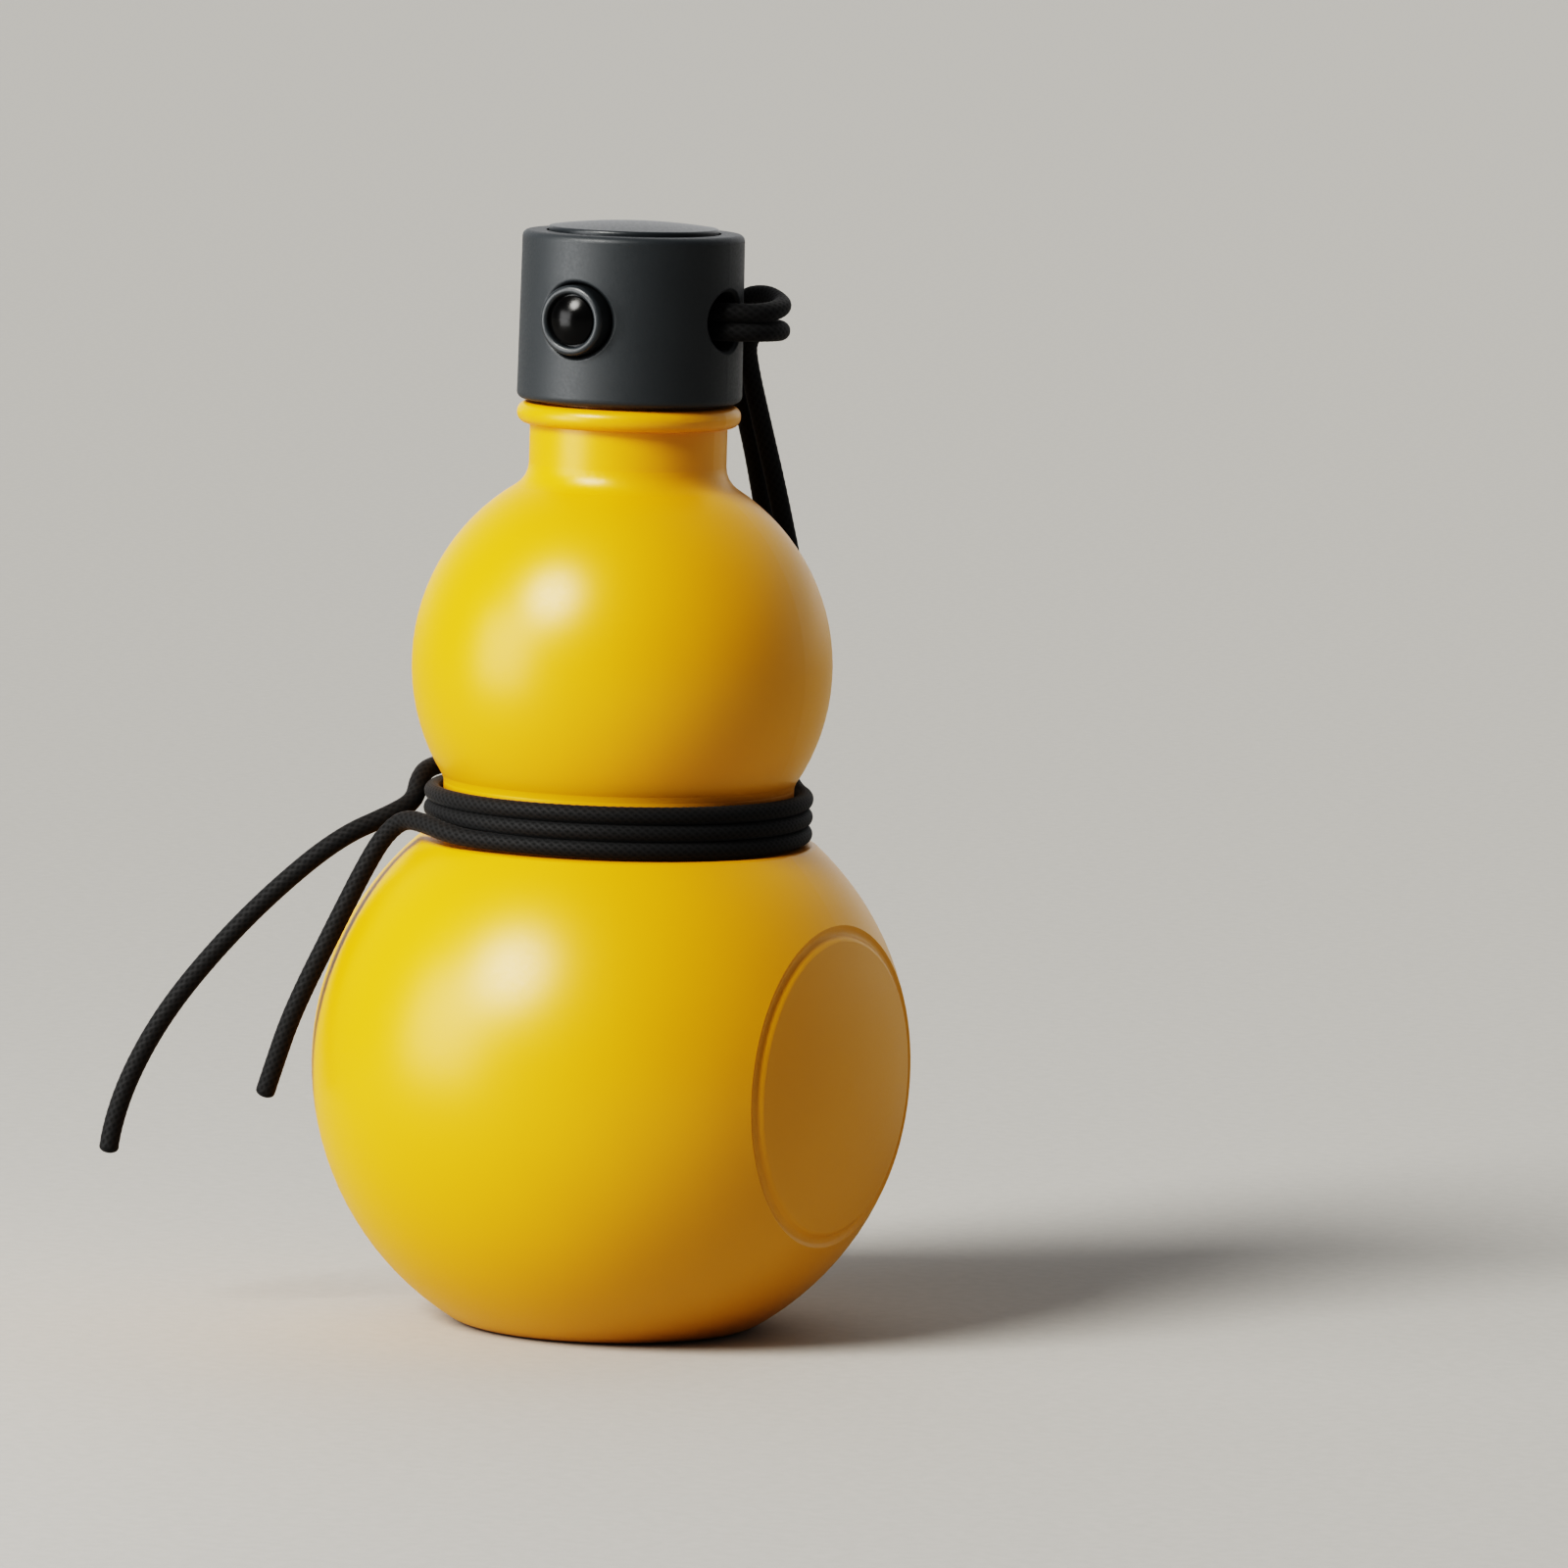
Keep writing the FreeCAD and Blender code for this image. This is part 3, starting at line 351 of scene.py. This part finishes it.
def braidedCord(name, route, setup):
    points, total = evenPoints(splinePoints(name, route), setup["step"])
    count = setup["around"]
    mesh = bmesh.new()
    heightLayer = mesh.verts.layers.float.new("braidHeight")
    uvLayer = mesh.loops.layers.uv.new("braid")
    rows = []
    places = []
    for point, heading, side, along, size in cordRings(points, total, setup):
        radius = setup["radius"] * size * drawnIn(point, setup)
        row = []
        for step, way in enumerate(ringWays(heading, side, count)):
            height = setup["endHeight"]
            reach = radius
            if size == 1.0:
                height = braidHeight(setup, along, step / count)
                reach = radius + setup["relief"] * (height - 0.5)  # half of it sinks in
            vertex = mesh.verts.new(point + way * reach)
            vertex[heightLayer] = height
            row.append(vertex)
        rows.append(row)
        places.append(along)
    sideFaces, endFaces = tubeFaces(mesh, rows)
    for number, face in enumerate(sideFaces):
        ring, step = divmod(number, count)
        corners = ((ring, step), (ring, step + 1), (ring + 1, step + 1), (ring + 1, step))
        for loop, (row, turn) in zip(face.loops, corners):
            loop[uvLayer].uv = (places[row], turn / count)
    for face in endFaces:
        face.smooth = True
    piece = pieceFrom(name, mesh)
    print(name, "length %.0f mm" % (total / mm), len(piece.data.vertices), "vertices")
    return piece, points, total


# braided polyester, black: matt yarn with a faint sheen on each strand; its colour is darker in the gaps
# between strands and lighter on their crowns, which is painted shade;
# the noises lie on the braid's own UV map, which is 10 mm to the unit
braidFinish = {
    # the dark stop is painted shade for the gaps between strands, the lighter one for their crowns
    "stops": ((0.2, "#0f0f0f"), (1.0, "#202021")),
    "fleck": {"Scale": 90.0, "Detail": 3.0},  # 0.1 mm flecks in the yarn
    "fleckShare": 0.3,
    "roughness": {"From Min": 0.0, "From Max": 1.2, "To Min": 0.9, "To Max": 0.62},
    "yarn": {"Scale": 60.0, "Detail": 2.0},   # 0.1 mm fibres drawn nearly twice as coarse, to show
    "bump": {"Strength": 0.35, "Distance": 0.05 * mm},
    "gloss": {"Sheen Weight": 0.06, "Sheen Roughness": 0.5, "IOR": 1.5, "Specular IOR Level": 0.25},
}


def braidMaterial(finish):
    material, tree = newMaterial("braidedPolyester")
    height = addNode(tree, "ShaderNodeAttribute", {"attribute_name": "braidHeight"})
    uv = addNode(tree, "ShaderNodeUVMap", {"uv_map": "braid"})
    fleck = addNode(tree, "ShaderNodeTexNoise", values=finish["fleck"], links={"Vector": uv.outputs[0]})
    # real flecks of the yarn plus the braid's height: painted shade in the gaps between strands, lighter
    # crowns
    shade = addNode(
        tree, "ShaderNodeMath", {"operation": "MULTIPLY_ADD"}, {1: finish["fleckShare"]},
        {0: fleck.outputs["Fac"], 2: height.outputs["Fac"]},
    )
    colour = addNode(tree, "ShaderNodeValToRGB", links={0: shade.outputs[0]}, stops=finish["stops"])
    rough = addNode(
        tree, "ShaderNodeMapRange", values=finish["roughness"], links={"Value": shade.outputs[0]}
    )
    yarn = addNode(tree, "ShaderNodeTexNoise", values=finish["yarn"], links={"Vector": uv.outputs[0]})
    bump = addNode(tree, "ShaderNodeBump", values=finish["bump"], links={"Height": yarn.outputs["Fac"]})
    shader = addNode(
        tree, "ShaderNodeBsdfPrincipled", values=finish["gloss"],
        links={"Base Color": colour.outputs[0], "Roughness": rough.outputs[0], "Normal": bump.outputs[0]},
    )
    addNode(tree, "ShaderNodeOutputMaterial", links={"Surface": shader.outputs[0]})
    return material


polyester = braidMaterial(braidFinish)
cordPieces = {
    "cordRight": {
        "route": rightRoute,
        "exit": (18.7, 0, 166.6),
        "stoodFor": ("cord_riser_right", "waist_winding", "short_tail"),
    },
    "cordLeft": {
        "route": leftRoute,
        "exit": (18.7, 0, 170.6),
        "stoodFor": ("cap_cord", "cord_riser_left", "knot_strand", "long_tail"),
    },
}
for name, cord in cordPieces.items():
    piece, line, length = braidedCord(name, cord["route"], cordSetup)
    dress(piece, polyester)
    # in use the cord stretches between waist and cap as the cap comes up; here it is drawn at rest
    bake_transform(piece)
    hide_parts(*cord["stoodFor"])
print("cords made")


# return spring of the button, a steel wire coil that shortens when the button goes in; here it is drawn at
# rest
springSetup = {
    "radius": 2.65 * mm,
    "wire": 0.35 * mm,
    "turns": 6,
    "perTurn": 16,
    "front": 4.0 * mm,
    "back": 12.4 * mm,
    "height": 168.6 * mm,
    "wireSides": 10,
    "step": 0.35 * mm,
    "travel": 2.2 * mm,
    "seat": 12.8 * mm,
}


def springPiece(setup):
    route = []
    steps = setup["turns"] * setup["perTurn"]
    grow = setup["radius"] / math.cos(math.pi / setup["perTurn"])
    for step in range(steps + 1):
        turn = 2 * math.pi * step / setup["perTurn"]
        place = setup["front"] + (setup["back"] - setup["front"]) * step / steps
        route.append(Vector((grow * math.cos(turn), place, setup["height"] + grow * math.sin(turn))))
    points = evenPoints(splinePoints("lockSpringCoil", route), setup["step"])[0]
    mesh = bmesh.new()
    rows = []
    for point, heading, side in zip(points, *ringFrames(points)):
        ways = ringWays(heading, side, setup["wireSides"])
        rows.append([mesh.verts.new(point + way * setup["wire"]) for way in ways])
    tubeFaces(mesh, rows)
    return pieceFrom("lockSpringCoil", mesh)


spring = springPiece(springSetup)
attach(spring, "cap")
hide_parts("lock_spring")
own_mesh(spring)
print("spring made")


# screw threads: two starts with a 6 mm lead, hidden until the cap comes up
threadSetup = {
    "lead": 6.0 * mm,
    "starts": 2,
    "halfFoot": 0.62 * mm,
    "halfCrest": 0.3 * mm,
    "runOut": 28,
    "runOutShare": 0.02,  # of the thread's depth, left at its very ends
    "steps": 72,
    "nearCrest": 0.01 * mm,
    "merge": 0.001 * mm,
    "smoothAngle": 40,
    "neck": {"root": 14.6 * mm, "crest": 15.4 * mm, "low": 154.7 * mm, "sweep": 205},
    "liner": {"root": 15.8 * mm, "crest": 15.0 * mm, "low": 156.2 * mm, "sweep": 150},
}


def threadSection(name, setup, wall):
    # a plane's outline, narrower at the crest than at the foot
    deselectAll()
    middle = (wall["root"] + wall["crest"]) / 2
    bpy.ops.mesh.primitive_plane_add(
        size=1, location=(middle, 0, wall["low"]), rotation=(math.pi / 2, 0, 0)
    )
    ridge = bpy.context.object
    ridge.name = name
    ridge.scale = (abs(wall["crest"] - wall["root"]), 2 * setup["halfFoot"], 1)
    bpy.ops.object.transform_apply(location=True, rotation=True, scale=True)
    bpy.ops.object.mode_set(mode="EDIT")
    bpy.ops.mesh.delete(type="ONLY_FACE")
    shape = bmesh.from_edit_mesh(ridge.data)
    for vertex in shape.verts:
        vertex.select = abs(vertex.co.x - wall["crest"]) < setup["nearCrest"]
    shape.select_flush_mode()
    bmesh.update_edit_mesh(ridge.data)
    bpy.ops.transform.resize(
        value=(1, 1, setup["halfCrest"] / setup["halfFoot"]), center_override=(wall["crest"], 0, wall["low"])
    )
    bpy.ops.object.mode_set(mode="OBJECT")
    return ridge


def runOutEnds(ridge, setup, wall):
    # the ridge's ends run out into the wall
    lastAngle = (wall["sweep"] + 360) / 2  # past this an angle is a rounding error below zero
    for vertex in ridge.data.vertices:
        angle = math.degrees(math.atan2(vertex.co.y, vertex.co.x)) % 360
        if angle > lastAngle:
            angle = 0.0
        share = min(1.0, min(angle, wall["sweep"] - angle) / setup["runOut"])
        share = max(setup["runOutShare"], eased(share))
        reach = math.hypot(vertex.co.x, vertex.co.y)
        wanted = wall["root"] + (reach - wall["root"]) * share
        vertex.co.x *= wanted / reach
        vertex.co.y *= wanted / reach


def threadRidge(name, setup, wall):
    # a small section is turned up the helix, once for each start
    ridges = []
    for start in range(setup["starts"]):
        ridge = threadSection(name + str(start), setup, wall)
        screw = ridge.modifiers.new("helix", "SCREW")
        screw.axis = "Z"
        screw.angle = math.radians(wall["sweep"])
        screw.screw_offset = setup["lead"] * wall["sweep"] / 360
        screw.steps = screw.render_steps = setup["steps"]
        screw.use_merge_vertices = True
        screw.merge_threshold = setup["merge"]
        bpy.ops.object.modifier_apply(modifier="helix")
        runOutEnds(ridge, setup, wall)
        bpy.ops.object.mode_set(mode="EDIT")
        bpy.ops.mesh.select_all(action="SELECT")
        bpy.ops.mesh.fill_holes(sides=0)
        bpy.ops.mesh.normals_make_consistent(inside=False)
        bpy.ops.object.mode_set(mode="OBJECT")
        ridge.data.transform(Matrix.Rotation(2 * math.pi * start / setup["starts"], 4, "Z"))
        ridges.append(ridge)
    deselectAll()
    for ridge in ridges:
        ridge.select_set(True)
    bpy.context.view_layer.objects.active = ridges[0]
    bpy.ops.object.join()
    thread = bpy.context.object
    thread.name = name
    thread.data.name = name
    bpy.ops.object.shade_smooth_by_angle(angle=math.radians(setup["smoothAngle"]))
    return thread


neckThread = threadRidge("neckThread", threadSetup, threadSetup["neck"])
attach(neckThread, "bottle")
linerThread = threadRidge("linerThread", threadSetup, threadSetup["liner"])
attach(linerThread, "cap")
print("threads made")


# moulded bottle plastic with a satin skin: even deep yellow, soft broad highlights, faint orange peel
bottleFinish = {
    "drift": {"Scale": 25.0, "Detail": 2.0},    # slow drift of the pigment over about 40 mm
    "stops": ((0.3, "#d8970a"), (0.7, "#dc9b0c")),
    "grain": {"Scale": 2500.0, "Detail": 2.0},  # moulding grain of 0.4 mm
    "roughness": {"From Min": 0.3, "From Max": 0.7, "To Min": 0.34, "To Max": 0.4},
    "grainBump": {"Strength": 0.12, "Distance": 0.02 * mm},
    "peel": {"Scale": 330.0, "Detail": 1.0},    # orange peel about 3 mm across
    "peelBump": {"Strength": 0.1, "Distance": 0.04 * mm},
    "gloss": {"IOR": 1.49, "Specular IOR Level": 0.5},
}


def bottleMaterial(finish):
    material, tree = newMaterial("satinMouldedPolypropylene")
    place = addNode(tree, "ShaderNodeTexCoord").outputs["Object"]
    drift = addNode(tree, "ShaderNodeTexNoise", values=finish["drift"], links={"Vector": place})
    colour = addNode(tree, "ShaderNodeValToRGB", links={0: drift.outputs["Fac"]}, stops=finish["stops"])
    grain = addNode(tree, "ShaderNodeTexNoise", values=finish["grain"], links={"Vector": place})
    peel = addNode(tree, "ShaderNodeTexNoise", values=finish["peel"], links={"Vector": place})
    rough = addNode(
        tree, "ShaderNodeMapRange", values=finish["roughness"], links={"Value": grain.outputs["Fac"]}
    )
    fine = addNode(
        tree, "ShaderNodeBump", values=finish["grainBump"], links={"Height": grain.outputs["Fac"]}
    )
    soft = addNode(
        tree, "ShaderNodeBump", values=finish["peelBump"],
        links={"Height": peel.outputs["Fac"], "Normal": fine.outputs[0]},
    )
    shader = addNode(
        tree, "ShaderNodeBsdfPrincipled", values=finish["gloss"],
        links={"Base Color": colour.outputs[0], "Roughness": rough.outputs[0], "Normal": soft.outputs[0]},
    )
    addNode(tree, "ShaderNodeOutputMaterial", links={"Surface": shader.outputs[0]})
    return material


# plastics of the cap, dark, with a fine even grain that breaks the highlight up
capGrain = {
    "noiseSpan": (0.3, 0.7),  # where most of a noise's values lie
    "grit": {"Scale": 2000.0, "Detail": 3.0},  # 0.12 mm grit drawn about four times as coarse, to show
    "gritDepth": 0.03 * mm,
    "cloud": {"Scale": 60.0, "Detail": 2.0},   # faint clouds of about 17 mm in the pigment
    "gloss": {"IOR": 1.53, "Specular IOR Level": 0.5},
}
capFinishes = {
    # blue-grey and matt, from a spark-eroded mould
    "sparkErodedAbs": {"colours": ("#292d30", "#2d3134"), "roughness": (0.46, 0.56), "grit": 0.25},
    # a smoother skin with a broad soft shine
    "satinAbs": {"colours": ("#262a2d", "#2a2e31"), "roughness": (0.34, 0.42), "grit": 0.12},
    # nearly black, as moulded
    "mouldedPolypropylene": {"colours": ("#161718", "#1a1b1c"), "roughness": (0.4, 0.5), "grit": 0.1},
}


def capMaterial(name, finish, shared):
    material, tree = newMaterial(name)
    place = addNode(tree, "ShaderNodeTexCoord").outputs["Object"]
    grit = addNode(tree, "ShaderNodeTexNoise", values=shared["grit"], links={"Vector": place})
    cloud = addNode(tree, "ShaderNodeTexNoise", values=shared["cloud"], links={"Vector": place})
    colour = addNode(
        tree, "ShaderNodeValToRGB", links={0: cloud.outputs["Fac"]},
        stops=zip(shared["noiseSpan"], finish["colours"]),
    )
    low, high = shared["noiseSpan"]
    smooth, coarse = finish["roughness"]
    rough = addNode(
        tree, "ShaderNodeMapRange",
        values={"From Min": low, "From Max": high, "To Min": smooth, "To Max": coarse},
        links={"Value": grit.outputs["Fac"]},
    )
    bump = addNode(
        tree, "ShaderNodeBump", values={"Strength": finish["grit"], "Distance": shared["gritDepth"]},
        links={"Height": grit.outputs["Fac"]},
    )
    shader = addNode(
        tree, "ShaderNodeBsdfPrincipled", values=shared["gloss"],
        links={"Base Color": colour.outputs[0], "Roughness": rough.outputs[0], "Normal": bump.outputs[0]},
    )
    addNode(tree, "ShaderNodeOutputMaterial", links={"Surface": shader.outputs[0]})
    return material


# polished acrylic dome: black and deep, with soft-edged highlights
domeFinish = {
    "haze": {"Scale": 400.0, "Detail": 2.0},  # uneven polish over 2.5 mm
    "stops": ((0.3, "#050505"), (0.7, "#080707")),
    "roughness": {"From Min": 0.3, "From Max": 0.7, "To Min": 0.2, "To Max": 0.26},
    "gloss": {"IOR": 1.49, "Specular IOR Level": 0.25},
}
# drawn spring steel: bright grey metal, its shine a little uneven from the drawing
steelFinish = {
    "haze": {"Scale": 1500.0, "Detail": 3.0},  # marks of 0.7 mm
    "stops": ((0.3, "#9a9b9e"), (0.7, "#b6b7ba")),
    "roughness": {"From Min": 0.3, "From Max": 0.7, "To Min": 0.25, "To Max": 0.4},
    "gloss": {"Metallic": 1.0},
}


def polishedMaterial(name, finish):
    # one noise gives both the colour and the roughness
    material, tree = newMaterial(name)
    place = addNode(tree, "ShaderNodeTexCoord").outputs["Object"]
    haze = addNode(tree, "ShaderNodeTexNoise", values=finish["haze"], links={"Vector": place})
    colour = addNode(tree, "ShaderNodeValToRGB", links={0: haze.outputs["Fac"]}, stops=finish["stops"])
    rough = addNode(
        tree, "ShaderNodeMapRange", values=finish["roughness"], links={"Value": haze.outputs["Fac"]}
    )
    shader = addNode(
        tree, "ShaderNodeBsdfPrincipled", values=finish["gloss"],
        links={"Base Color": colour.outputs[0], "Roughness": rough.outputs[0]},
    )
    addNode(tree, "ShaderNodeOutputMaterial", links={"Surface": shader.outputs[0]})
    return material


# silicone: milky white, slightly see-into, soft shine
siliconeFinish = {
    "cloud": {"Scale": 150.0, "Detail": 2.0},  # clouds of about 7 mm
    "stops": ((0.3, "#cfcfca"), (0.7, "#d8d8d3")),
    "gloss": {"IOR": 1.41, "Roughness": 0.42, "Subsurface Weight": 0.25, "Subsurface Scale": 1.0 * mm},
}
# pale studio paper: even, quite matt, with a faint tooth
paperFinish = {
    "cloud": {"Scale": 400.0, "Detail": 2.0},  # tooth of 2.5 mm
    "stops": ((0.3, "#aeaca8"), (0.7, "#b2b0ac")),
    "gloss": {"Roughness": 0.9, "Specular IOR Level": 0.1},
}


def evenMaterial(name, finish):
    # a noise gives the colour, and the rest is even
    material, tree = newMaterial(name)
    place = addNode(tree, "ShaderNodeTexCoord").outputs["Object"]
    cloud = addNode(tree, "ShaderNodeTexNoise", values=finish["cloud"], links={"Vector": place})
    colour = addNode(tree, "ShaderNodeValToRGB", links={0: cloud.outputs["Fac"]}, stops=finish["stops"])
    shader = addNode(
        tree, "ShaderNodeBsdfPrincipled", values=finish["gloss"], links={"Base Color": colour.outputs[0]}
    )
    addNode(tree, "ShaderNodeOutputMaterial", links={"Surface": shader.outputs[0]})
    return material


satinYellow = bottleMaterial(bottleFinish)
capPlastics = {name: capMaterial(name, finish, capGrain) for name, finish in capFinishes.items()}
finishes = {
    "bottle_shell": satinYellow,
    "cap_shell": capPlastics["sparkErodedAbs"],
    "cap_top_plate": capPlastics["satinAbs"],
    "cap_liner": capPlastics["mouldedPolypropylene"],
    "lock_barrel": capPlastics["mouldedPolypropylene"],
    "lock_plunger": capPlastics["satinAbs"],
    "button_dome": polishedMaterial("polishedAcrylic", domeFinish),
    "cap_gasket": evenMaterial("mouldedSilicone", siliconeFinish),
}
for name, material in finishes.items():
    dress(nodes[name], material)
dress(neckThread, satinYellow)
dress(linerThread, capPlastics["mouldedPolypropylene"])
dress(spring, polishedMaterial("drawnSpringSteel", steelFinish))
print("materials set")


# pale studio floor and soft light; directions are given as the camera sees them
stageSetup = {
    "floorSize": 40,
    "wall": {"left": -0.25, "up": 0.15, "front": -0.95},
    "wallStops": ((0.1, "#646466"), (0.9, "#ffffff")),
    "worldStrength": 0.9,
    "key": {
        "left": 0.57, "up": 0.57, "front": 0.59, "strength": 3.55, "softness": 24, "colour": "#fffdf8",
    },
    "side": {
        "left": 0.46, "up": 0.1, "front": 0.22, "aimHeight": 0.06, "width": 0.3, "height": 0.3,
        "power": 1.5, "colour": "#ffffff",
    },
}


def asSeen(way):
    return bpy.context.scene.camera.matrix_world.to_3x3() @ Vector((-way["left"], way["up"], way["front"]))


def setFloor(setup):
    deselectAll()
    bpy.ops.mesh.primitive_plane_add(size=setup["floorSize"])
    floor = bpy.context.object
    floor.name = "studioFloor"
    dress(floor, evenMaterial("paleStudioPaper", paperFinish))


def setWorld(setup):
    # a pale wall behind, a little to the right, in a dimmer room
    world = bpy.data.worlds.new("studioWorld")
    world.use_nodes = True
    tree = world.node_tree
    tree.nodes.clear()
    way = addNode(tree, "ShaderNodeTexCoord")
    facing = addNode(
        tree, "ShaderNodeVectorMath", {"operation": "DOT_PRODUCT"}, {1: asSeen(setup["wall"])},
        {0: way.outputs["Generated"]},
    )
    fade = addNode(
        tree, "ShaderNodeValToRGB", links={0: facing.outputs["Value"]}, stops=setup["wallStops"]
    )
    background = addNode(
        tree, "ShaderNodeBackground", values={"Strength": setup["worldStrength"]},
        links={"Color": fade.outputs[0]},
    )
    addNode(tree, "ShaderNodeOutputWorld", links={"Surface": background.outputs[0]})
    bpy.context.scene.world = world
    # a film-like response: soft highlights, and shade that goes from yellow to brown
    bpy.context.scene.view_settings.view_transform = "Filmic"
    bpy.context.scene.view_settings.look = "Very High Contrast"


def studioLight(name, kind, setup):
    data = bpy.data.lights.new(name, kind)
    data.color = linearColour(setup["colour"])[:3]
    light = bpy.data.objects.new(name, data)
    bpy.context.collection.objects.link(light)
    light.rotation_euler = asSeen(setup).to_track_quat("Z", "Y").to_euler()
    return light


def sunLight(name, setup):
    sun = studioLight(name, "SUN", setup)
    sun.data.energy = setup["strength"]
    sun.data.angle = math.radians(setup["softness"])


def softbox(name, setup):
    box = studioLight(name, "AREA", setup)
    box.data.shape = "RECTANGLE"
    box.data.size, box.data.size_y = setup["width"], setup["height"]
    box.data.energy = setup["power"]
    box.location = asSeen(setup) + Vector((0, 0, setup["aimHeight"]))


setFloor(stageSetup)
setWorld(stageSetup)
sunLight("keyLight", stageSetup["key"])
softbox("sideBox", stageSetup["side"])
print("stage set")
